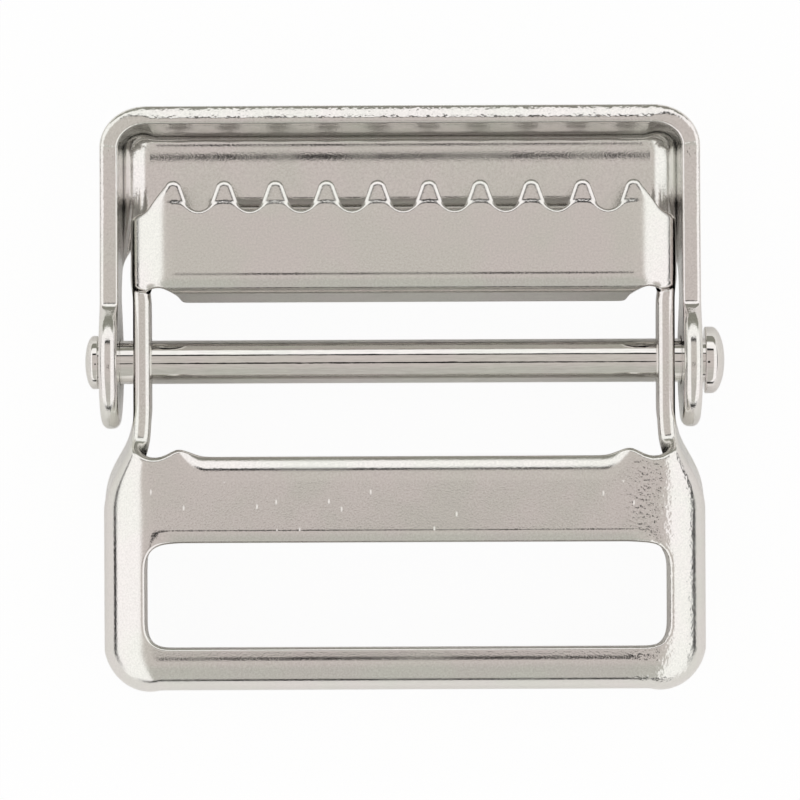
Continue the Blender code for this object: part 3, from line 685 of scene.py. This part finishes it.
def frame_edges(point):
    """Edges of the frame, wide and shallow along the teeth."""
    share = ease((point.y - SHOULDER_Y) / TOOTH_EDGE_BLEND)
    return edge_mix(FRAME_EDGE, TOOTH_EDGE, share), FRAME_EDGE


def window_edges(point):
    """Edges of the window, rounder along the arms."""
    share = ease((abs(point.x) - LIP_END_U) / (flange_end(0.0, 1.0) - LIP_END_U))
    edge = edge_mix(FRAME_EDGE, ARM_EDGE, share)
    return edge, edge


def slot_edges(point):
    """Edges of the webbing slot."""
    return SLOT_EDGE, FRAME_EDGE


def hole_edges(point):
    """Edges of the pin holes."""
    return HOLE_EDGE, HOLE_EDGE


def is_frame_tooth(point):
    """True along the frame's teeth, whose rounds are drawn as they are."""
    return point.y > TOOTH_BEND_Y and abs(point.x) < END_TOOTH_U + TOOTH_TIP_RADIUS


def toothed_frame():
    """The frame: toothed plate, arms, cross bar and slotted base in one pressing."""
    outlines = [frame_outline(), window_outline(), slot_outline()]
    loops = [softened(outline, is_frame_tooth) for outline in outlines]
    holes = pin_holes(lambda y, z: flange_u(y, -z))
    loops += [[Vector(point) for point in hole] for hole in holes]
    edges = [frame_edges, window_edges, slot_edges] + [hole_edges] * len(holes)
    reach = max(point.x for point in loops[0])
    lowest = min(point.y for point in loops[0])
    extra = tooth_creases() + grid(-reach, reach, lowest, TOOTH_TIP_V)
    return press("toothed_frame_plate", loops, edges, extra, form_frame, FRAME_SHEET)


# Cover
ARM_OUTER_HALF = form_frame(flange_u(0.0, -ARM_BEHIND_PIN), 0.0).x
RIM_Z = PIN_TO_FRONT - RIM_BELOW_FRONT
FLOOR_Z = -FLOOR_BEHIND_PIN
PAN_DEPTH = RIM_Z - FLOOR_Z
RIM_HALF = ARM_OUTER_HALF + EAR_SIDE_GAP + (RIM_Z + ARM_BEHIND_PIN) * math.tan(EAR_DRAFT)
END_BEND_Y = TOOTH_TIP_Y + TOOTH_ROOM
PAN_Y = END_BEND_Y - COVER_CORNER_RADIUS
COVER_LIP_Y = END_BEND_Y - FLOOR_FACE
FLOOR_EDGE_V = COVER_LIP_Y - COVER_LIP_RADIUS * COVER_LIP_ROLL
WAIST_Z = FLOOR_Z + COVER_BEND_RADIUS + COVER_WAIST_RISE
EAR_WAIST_Y = math.sqrt(EAR_RADIUS ** 2 - WAIST_Z ** 2)
EAR_RIM_Y = math.sqrt(EAR_RADIUS ** 2 - RIM_Z ** 2)
COVER_WAIST_Y = EAR_WAIST_Y + COVER_WAIST_GAP


def wall_angle(y):
    """Angle that the cover's side wall is bent through, from the ear to the pan."""
    return RIGHT_ANGLE - mix(EAR_DRAFT, SIDE_DRAFT, ease((y - EAR_RADIUS) / (COVER_LIP_Y - EAR_RADIUS)))


def wall_radii(y):
    """Inner radii of the cover's side bend, wider beside the floor than beside the plate's shoulder."""
    share = ease((y - PLATE_LIP_Y) / (COVER_LIP_Y - PLATE_LIP_Y))
    return even(mix(COVER_BEND_RADIUS, COVER_SIDE_BEND_RADIUS, share))


def cover_half(y):
    """Half width of the cover's flat floor, which keeps the rim straight."""
    length = bend_length(PAN_DEPTH, wall_radii(y), wall_angle(y))
    return RIM_HALF - bend(length, wall_radii(y), wall_angle(y))[0]


def rim_u(y):
    """Place across the blank of the rim, or of its height on the ear."""
    return cover_half(y) + bend_length(PAN_DEPTH, wall_radii(y), wall_angle(y))


def wall_u(y, z):
    """Place across the blank where the straight part of the cover's side wall reaches height z."""
    return rim_u(y) - (RIM_Z - z) / math.sin(wall_angle(y))


def pan_angle(turn):
    """Angle that the wall is bent through round a corner of the pan, from the side to the end."""
    return RIGHT_ANGLE - mix(SIDE_DRAFT, END_DRAFT, ease(turn / RIGHT_ANGLE))


def pan_radii(turn):
    """Inner radii of the bend round a corner of the pan, from the side to the end."""
    return even(mix(COVER_SIDE_BEND_RADIUS, COVER_BEND_RADIUS, ease(turn / RIGHT_ANGLE)))


PAN_U = cover_half(PAN_Y) - COVER_CORNER_RADIUS
COVER_LIP_END_U = cover_half(PAN_Y) - COVER_LIP_INSET


def pan_point(turn, distance):
    """Blank point at a distance past the bend's start round the pan's right corner."""
    reach = COVER_CORNER_RADIUS + distance
    return PAN_U + reach * math.cos(turn), PAN_Y + reach * math.sin(turn)


def floor_sweep(v):
    """Rise of the cover's floor where it sweeps up to its closed end."""
    share = (min(v, END_BEND_Y) - END_BEND_Y) / COVER_SWEEP_LENGTH + 1.0
    return COVER_SWEEP_RISE * max(share, 0.0) ** 2


def form_cover(u, v):
    """Inner face of the cover over a point of its blank."""
    across = abs(u)
    x = across
    y = v
    if across > PAN_U and v > PAN_Y:
        turn = math.atan2(v - PAN_Y, across - PAN_U)
        reach = math.hypot(across - PAN_U, v - PAN_Y)
        run, rise = bend(reach - COVER_CORNER_RADIUS, pan_radii(turn), pan_angle(turn))
        x, y = pan_point(turn, run)
    elif v > END_BEND_Y:
        run, rise = bend(v - END_BEND_Y, even(COVER_BEND_RADIUS), RIGHT_ANGLE - END_DRAFT)
        y = END_BEND_Y + run
    elif v < COVER_WAIST_Y:
        below_rim = rim_u(v) - across
        x = RIM_HALF - below_rim * math.cos(wall_angle(v))
        rise = PAN_DEPTH - below_rim * math.sin(wall_angle(v))
    else:
        half = cover_half(v)
        run, rise = bend(across - half, wall_radii(v), wall_angle(v))
        x = half + run
        angle = COVER_LIP_ROLL * lip_share(across, COVER_LIP_END_U, COVER_LIP_FADE)
        lip_run, lip_drop = bend(COVER_LIP_Y - v, even(COVER_LIP_RADIUS), angle)
        y = COVER_LIP_Y - lip_run
        rise -= lip_drop
    return Vector((math.copysign(x, u), y, FLOOR_Z + rise + floor_sweep(v)))


def cover_outline():
    """Blank outline of the cover."""
    waist_u = wall_u(COVER_WAIST_Y, WAIST_Z)
    right = [(0.0, FLOOR_EDGE_V), (COVER_LIP_END_U - COVER_LIP_FADE, FLOOR_EDGE_V)]
    for turn in steps(0.0, RIGHT_ANGLE, CURVE_STEPS):
        right.append((mix(COVER_LIP_END_U, waist_u, math.sin(turn)),
                      mix(COVER_WAIST_Y, FLOOR_EDGE_V, math.cos(turn))))
    first = math.atan2(WAIST_Z, EAR_WAIST_Y)
    last = math.atan2(RIM_Z, EAR_RIM_Y) - math.tau
    for turn in steps(first, last, HOLE_SIDES):
        y = EAR_RADIUS * math.cos(turn)
        right.append((wall_u(y, EAR_RADIUS * math.sin(turn)), y))
    right.extend((wall_u(y, RIM_Z), y) for y in steps(EAR_RIM_Y, PAN_Y, CURVE_STEPS)[1:-1])
    for turn in steps(0.0, RIGHT_ANGLE, CURVE_STEPS):
        right.append(pan_point(turn, bend_length(PAN_DEPTH, pan_radii(turn), pan_angle(turn))))
    right.append((0.0, right[-1][1]))
    return mirrored(right)


def cover_folds():
    """Closer rows of blank points along the tight fold between the cover's floor and walls."""
    points = []
    for share in steps(0.0, 1.0, FOLD_ROWS):
        row = []
        count = round((PAN_Y - COVER_WAIST_Y) / GRID_STEP)
        for y in steps(COVER_WAIST_Y, PAN_Y, count):
            row.append((cover_half(y) + arc_length(share, wall_radii(y), wall_angle(y)), y))
        for turn in steps(0.0, RIGHT_ANGLE, CURVE_STEPS):
            row.append(pan_point(turn, arc_length(share, pan_radii(turn), pan_angle(turn))))
        end_u, end_v = row[-1]
        row += [(u, end_v) for u in steps(end_u, 0.0, round(end_u / GRID_STEP))[1:]]
        points += row + [(-u, v) for u, v in row if u > 0.0]
    return points


def cover_edges(point):
    """Edges of the cover, which are wider along its closed end and round its ears."""
    turn = math.atan2(max(point.y - PAN_Y, 0.0), max(abs(point.x) - PAN_U, 0.0))
    end = ease(turn / RIGHT_ANGLE)
    ear = ease((EAR_WAIST_Y - point.y) / EAR_EDGE_BLEND)
    outer = edge_mix(COVER_SIDE_EDGE, COVER_END_EDGE, end)
    return edge_mix(COVER_INNER_EDGE, EAR_EDGE, ear), edge_mix(outer, EAR_EDGE, ear)


def cover_pan():
    """The cover: pan and ears in one pressing."""
    loops = [softened(cover_outline(), lambda point: False)]
    holes = pin_holes(wall_u)
    loops += [[Vector(point) for point in hole] for hole in holes]
    edges = [cover_edges] + [hole_edges] * len(holes)
    reach = max(point.x for point in loops[0])
    lowest = min(point.y for point in loops[0])
    highest = max(point.y for point in loops[0])
    extra = cover_folds() + grid(-reach, reach, lowest, highest)
    made = press("cover_pan", loops, edges, extra, form_cover, COVER_SHEET)
    made.location.x += COVER_SIDE_SHIFT
    return made


# Pin, turned about the x axis between the outsides of the ears
EAR_OUTER_HALF = form_cover(wall_u(0.0, 0.0), 0.0).x + COVER_SHEET / math.cos(EAR_DRAFT)
HEAD_X = COVER_SIDE_SHIFT + EAR_OUTER_HALF + PIN_HEAD_GAP
PEEN_X = COVER_SIDE_SHIFT - EAR_OUTER_HALF - PIN_PEEN_GAP


def dome(start, radius, height):
    """Profile of a domed end from its seat to its tip; a negative height points to the left."""
    way = math.copysign(1.0, height)
    rim = DOME_RIM_SHARE * height
    profile = [(start, radius - PIN_EDGE)]
    for turn in steps(0.0, RIGHT_ANGLE, EDGE_STEPS)[1:]:
        profile.append((start + way * PIN_EDGE * (1.0 - math.cos(turn)),
                        radius - PIN_EDGE * (1.0 - math.sin(turn))))
    for turn in steps(0.0, RIGHT_ANGLE, CURVE_STEPS)[:-1]:
        profile.append((start + rim + (height - rim) * math.sin(turn), radius * math.cos(turn)))
    return profile + [(start + height, 0.0)]


def pivot_pin():
    """The rivet: peened end on the left, factory head on the right."""
    peen = dome(PEEN_X, PIN_PEEN_DIAMETER / 2, -PIN_PEEN_HEIGHT)
    head = dome(HEAD_X, PIN_HEAD_DIAMETER / 2, PIN_HEAD_HEIGHT)
    shank = [(PEEN_X, PIN_DIAMETER / 2), (HEAD_X, PIN_DIAMETER / 2)]
    profile = peen[::-1] + shank + head
    points = [(profile[0][0], 0.0, 0.0)]
    for x, radius in profile[1:-1]:
        for index in range(PIN_SIDES):
            turn = math.tau * index / PIN_SIDES
            points.append((x, radius * math.cos(turn), radius * math.sin(turn)))
    points.append((profile[-1][0], 0.0, 0.0))
    faces = []
    for index in range(PIN_SIDES):
        after = (index + 1) % PIN_SIDES
        faces.append([0, 1 + after, 1 + index])
        for ring in range(len(profile) - 3):
            low = 1 + ring * PIN_SIDES
            faces.append([low + index, low + after, low + PIN_SIDES + after, low + PIN_SIDES + index])
        last = 1 + (len(profile) - 3) * PIN_SIDES
        faces.append([last + index, last + after, len(points) - 1])
    mesh = bpy.data.meshes.new("rivet_pin")
    mesh.from_pydata(points, [], faces)
    mesh.shade_smooth()
    mesh.set_sharp_from_angle(angle=PIN_SHARP_ANGLE)
    made = bpy.data.objects.new("rivet_pin", mesh)
    made.location = PIN_AXIS
    bpy.context.scene.collection.objects.link(made)
    return made


# Nickel plate: colours, grains to the metre, and depths of the grain and of its marks
PINK_NICKEL = (0.80, 0.768, 0.752, 1.0)
GREEN_NICKEL = (0.785, 0.782, 0.742, 1.0)
PATCHES = 260.0
PATCH_DETAIL = 3.0
PATCH_EDGES = (0.35, 0.65)
FINE_GRAIN = 9000.0
FINE_DETAIL = 2.0
FINE_DEPTH = 0.0000036
DRAWN_DEPTH = 0.0000015
PRESSED_STRETCH = (1.0, 1.0, 1.0)
DRAWN_STRETCH = (0.12, 1.0, 1.0)
MARK_DETAIL = 1.0
SPECKLE = 0.90
SPECKLE_EDGES = (0.3, 0.7)
PRESSED_ROUGHNESS = (0.09, 0.16)
DRAWN_ROUGHNESS = (0.03, 0.06)
WORN_ACROSS = (0.0125, 0.0155)
WORN_END = (0.0175, 0.0165)
WORN_ALONG = (-0.004, -0.007)
WORN_GRAIN = 4200.0
WORN_DEPTH = 0.000036
RIM_START_DEPTH = 0.0008
RIM_FULL_DEPTH = 0.0004
RIM_ZONE = (RIM_Z - RIM_START_DEPTH, RIM_Z - RIM_FULL_DEPTH)
RIM_ALONG = (EAR_RADIUS, COVER_LIP_Y)
RIM_GRAIN = 3600.0
RIM_DEPTH = 0.000026
NICK_SPREAD = (1600.0, 330.0, 1.0)
NICK_CHANCE = 0.76
NICK_SIZE = (0.085, 0.0)
NICK_DEPTH = 0.000018


def node(tree, kind, inputs=None, **settings):
    """New shader node with its settings and inputs; an input that is a socket is linked."""
    made = tree.nodes.new(kind)
    for key, value in settings.items():
        setattr(made, key, value)
    for key, value in (inputs or {}).items():
        if isinstance(value, bpy.types.NodeSocket):
            tree.links.new(value, made.inputs[key])
        else:
            made.inputs[key].default_value = value
    return made


def band(tree, value, edges):
    """Smooth rise from 0 to 1 between two edges of a value, or fall where the first edge is the higher."""
    low, high = edges
    made = node(tree, "ShaderNodeMapRange", {"Value": value, "From Min": low, "From Max": high},
                interpolation_type="SMOOTHSTEP")
    return made.outputs["Result"]


def math_node(tree, operation, first, second=0.0):
    """Result of an operation on one or two values or sockets."""
    return node(tree, "ShaderNodeMath", {0: first, 1: second}, operation=operation).outputs["Value"]


def product(tree, *values):
    """Product of several values or sockets."""
    result = values[0]
    for value in values[1:]:
        result = math_node(tree, "MULTIPLY", result, value)
    return result


def noise(tree, place, scale, detail):
    """Noise value at a place, with so many grains to the metre."""
    made = node(tree, "ShaderNodeTexNoise", {"Vector": place, "Scale": scale, "Detail": detail})
    return made.outputs["Fac"]


def worn_side(tree, place):
    """Height in metres of the coarse grain on the right-hand side of the frame's base."""
    split = node(tree, "ShaderNodeSeparateXYZ", {"Vector": place}).outputs
    right = product(tree, band(tree, split["X"], WORN_ACROSS), band(tree, split["X"], WORN_END))
    low = band(tree, split["Y"], WORN_ALONG)
    return product(tree, right, low, noise(tree, place, WORN_GRAIN, MARK_DETAIL), WORN_DEPTH)


def sheared_rim(tree, place):
    """Height in metres of the uneven grain along the cover's sheared rim."""
    split = node(tree, "ShaderNodeSeparateXYZ", {"Vector": place}).outputs
    rim = product(tree, band(tree, split["Z"], RIM_ZONE), band(tree, split["Y"], RIM_ALONG))
    return product(tree, rim, noise(tree, place, RIM_GRAIN, MARK_DETAIL), RIM_DEPTH)


def nicks(tree, place):
    """Height in metres of the few short nicks that cross the frame's bar."""
    split = node(tree, "ShaderNodeSeparateXYZ", {"Vector": place}).outputs
    drawn = node(tree, "ShaderNodeMapping", {"Vector": place, "Scale": NICK_SPREAD}).outputs["Vector"]
    cells = node(tree, "ShaderNodeTexVoronoi", {"Vector": drawn, "Scale": 1.0},
                 voronoi_dimensions="2D").outputs
    chance = node(tree, "ShaderNodeSeparateColor", {"Color": cells["Color"]}).outputs["Red"]
    kept = math_node(tree, "GREATER_THAN", chance, NICK_CHANCE)
    on_bar = product(tree, math_node(tree, "LESS_THAN", split["Y"], BAR_LIP_Y),
                     math_node(tree, "GREATER_THAN", split["Y"], SLOT_LIP_Y))
    return product(tree, kept, on_bar, band(tree, cells["Distance"], NICK_SIZE), NICK_DEPTH)


def nickel(name, stretch, depth, roughness, marks=()):
    """Bright nickel plate with its marks and a fine grain of that depth, stretched along x, y and z."""
    material = bpy.data.materials.new(name)
    material.use_nodes = True
    tree = material.node_tree
    shader = tree.nodes["Principled BSDF"]
    place = node(tree, "ShaderNodeTexCoord").outputs["Object"]
    drawn = node(tree, "ShaderNodeMapping", {"Vector": place, "Scale": stretch}).outputs["Vector"]
    fine = noise(tree, drawn, FINE_GRAIN, FINE_DETAIL)
    patch = band(tree, noise(tree, place, PATCHES, PATCH_DETAIL), PATCH_EDGES)
    tint = node(tree, "ShaderNodeMix", {"Factor": patch, "A": PINK_NICKEL, "B": GREEN_NICKEL},
                data_type="RGBA")
    low, high = SPECKLE_EDGES
    speckle = node(tree, "ShaderNodeMapRange", {"Value": fine, "From Min": low, "From Max": high,
                                                "To Min": SPECKLE, "To Max": 1.0}).outputs["Result"]
    color = node(tree, "ShaderNodeMix", {"Factor": 1.0, "A": tint.outputs["Result"], "B": speckle},
                 data_type="RGBA", blend_type="MULTIPLY")
    smooth, rough = roughness
    gloss = node(tree, "ShaderNodeMapRange", {"Value": patch, "To Min": smooth, "To Max": rough})
    height = product(tree, fine, depth)
    for mark in marks:
        height = math_node(tree, "ADD", height, mark(tree, place))
    grain = node(tree, "ShaderNodeBump", {"Height": height, "Strength": 1.0, "Distance": 1.0})
    tree.links.new(color.outputs["Result"], shader.inputs["Base Color"])
    tree.links.new(gloss.outputs["Result"], shader.inputs["Roughness"])
    tree.links.new(grain.outputs["Normal"], shader.inputs["Normal"])
    shader.inputs["Metallic"].default_value = 1.0
    return material


def dress(piece, body, replaced, material):
    """Material and body of a finished piece; the imported part that it replaces is hidden."""
    piece.data.materials.append(material)
    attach(piece, body)
    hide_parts(replaced)


# Studio
CEILING = (0.70, 0.655, 0.625, 1.0)
LOW_CEILING = (0.61, 0.60, 0.56, 1.0)
PANEL = (1.20, 1.19, 1.18, 1.0)
FAR_WALL = (0.30, 0.30, 0.26, 1.0)
DARK = (0.02, 0.02, 0.02, 1.0)
LENS_TILT = math.radians(-7.6)
LENS_RADIUS = (math.radians(4.2), math.radians(3.6))
SIDE_PANEL = (math.radians(20.0), math.radians(32.0))
SEAM = (math.radians(31.0), math.radians(34.0))
TOP_PANEL = (math.radians(38.0), math.radians(41.0))
TOP_PANEL_END = (math.radians(62.0), math.radians(67.0))
TOP_BEARING = (0.55, 0.75)
LOW_SIDE = (math.radians(-15.0), math.radians(-45.0))
HORIZON = (math.radians(80.0), math.radians(85.0))


def studio():
    """Light tent: a grey ceiling, white panels with a dark seam, a dark horizon and the dark lens."""
    world = bpy.data.worlds.new("studio")
    world.use_nodes = True
    tree = world.node_tree
    way = node(tree, "ShaderNodeTexCoord").outputs["Generated"]
    split = node(tree, "ShaderNodeSeparateXYZ", {"Vector": way}).outputs
    across = math_node(tree, "ARCTAN2", split["X"], split["Z"])
    along = math_node(tree, "ARCTAN2", split["Y"], split["Z"])
    bearing = math_node(tree, "ARCTAN2", split["Y"], split["X"])
    from_axis = math_node(tree, "ARCCOSINE", split["Z"])
    upper = band(tree, math_node(tree, "SINE", bearing), TOP_BEARING)
    square = math_node(tree, "COSINE", product(tree, bearing, 2.0))
    lower = math_node(tree, "SUBTRACT", 1.0, upper)
    lens_way = (0.0, math.sin(LENS_TILT), math.cos(LENS_TILT))
    to_lens = node(tree, "ShaderNodeVectorMath", {0: way, 1: lens_way}, operation="DOT_PRODUCT")
    from_lens = math_node(tree, "ARCCOSINE", to_lens.outputs["Value"])
    zones = [(band(tree, along, LOW_SIDE), LOW_CEILING),
             (product(tree, upper, band(tree, along, SEAM)), DARK),
             (band(tree, math_node(tree, "ABSOLUTE", across), SIDE_PANEL), PANEL),
             (product(tree, upper, band(tree, along, TOP_PANEL)), PANEL),
             (product(tree, upper, band(tree, along, TOP_PANEL_END)), FAR_WALL),
             (product(tree, lower, band(tree, from_axis, HORIZON), square, square), DARK),
             (band(tree, from_lens, LENS_RADIUS), DARK)]
    color = CEILING
    for share, shade in zones:
        color = node(tree, "ShaderNodeMix", {"Factor": share, "A": color, "B": shade},
                     data_type="RGBA").outputs["Result"]
    tree.links.new(color, tree.nodes["Background"].inputs["Color"])
    bpy.context.scene.world = world


# Table
FLOOR_SIZE = 0.8
FLOOR_WHITE = 0.95
FLOOR_COLOR = (0.96, 0.96, 0.95, 1.0)


def floor():
    """White table that stays near white round the buckle and keeps a soft shadow."""
    mesh = bpy.data.meshes.new("floor")
    half = FLOOR_SIZE / 2
    mesh.from_pydata([(-half, -half, 0.0), (half, -half, 0.0), (half, half, 0.0), (-half, half, 0.0)],
                     [], [(0, 1, 2, 3)])
    made = bpy.data.objects.new("floor", mesh)
    bpy.context.scene.collection.objects.link(made)
    material = bpy.data.materials.new("white_table")
    material.use_nodes = True
    tree = material.node_tree
    tree.nodes.remove(tree.nodes["Principled BSDF"])
    path = node(tree, "ShaderNodeLightPath").outputs
    seen = math_node(tree, "MAXIMUM", path["Is Camera Ray"], path["Is Transmission Ray"])
    share = product(tree, seen, FLOOR_WHITE)
    matte = node(tree, "ShaderNodeBsdfDiffuse", {"Color": FLOOR_COLOR})
    glow = node(tree, "ShaderNodeEmission", {"Strength": 1.0})
    both = node(tree, "ShaderNodeMixShader",
                {"Fac": share, 1: matte.outputs["BSDF"], 2: glow.outputs["Emission"]})
    tree.links.new(both.outputs["Shader"], tree.nodes["Material Output"].inputs["Surface"])
    mesh.materials.append(material)


# Camera
CAMERA_DISTANCE = 0.315
FRAME_WIDTH = 0.0476
SENSOR = 36.0
CLIP_START = 0.01
VIEW_CENTRE = (-0.0003, -0.00004)
VIEW_ROLL = math.radians(-0.25)


def camera():
    """Camera that looks straight down on the buckle."""
    lens = bpy.data.cameras.new("camera")
    lens.sensor_width = SENSOR
    lens.lens = SENSOR * CAMERA_DISTANCE / FRAME_WIDTH
    lens.clip_start = CLIP_START
    made = bpy.data.objects.new("camera", lens)
    made.location = (*VIEW_CENTRE, PIN_AXIS.z + PIN_TO_FRONT + CAMERA_DISTANCE)
    made.rotation_euler = (0.0, 0.0, VIEW_ROLL)
    bpy.context.scene.collection.objects.link(made)
    bpy.context.scene.camera = made


def main():
    """The three dressed pieces, the studio, the table and the camera."""
    bpy.context.scene.view_settings.view_transform = "Standard"
    frame_plate = nickel("frame_nickel_plate", PRESSED_STRETCH, FINE_DEPTH, PRESSED_ROUGHNESS,
                         (worn_side, nicks))
    dress(toothed_frame(), "frame", "toothed_frame", frame_plate)
    cover_plate = nickel("cover_nickel_plate", PRESSED_STRETCH, FINE_DEPTH, PRESSED_ROUGHNESS,
                         (sheared_rim,))
    dress(cover_pan(), "cover", "cover", cover_plate)
    pin_plate = nickel("pin_nickel_plate", DRAWN_STRETCH, DRAWN_DEPTH, DRAWN_ROUGHNESS)
    dress(pivot_pin(), "pin", "pivot_pin", pin_plate)
    studio()
    floor()
    camera()


main()
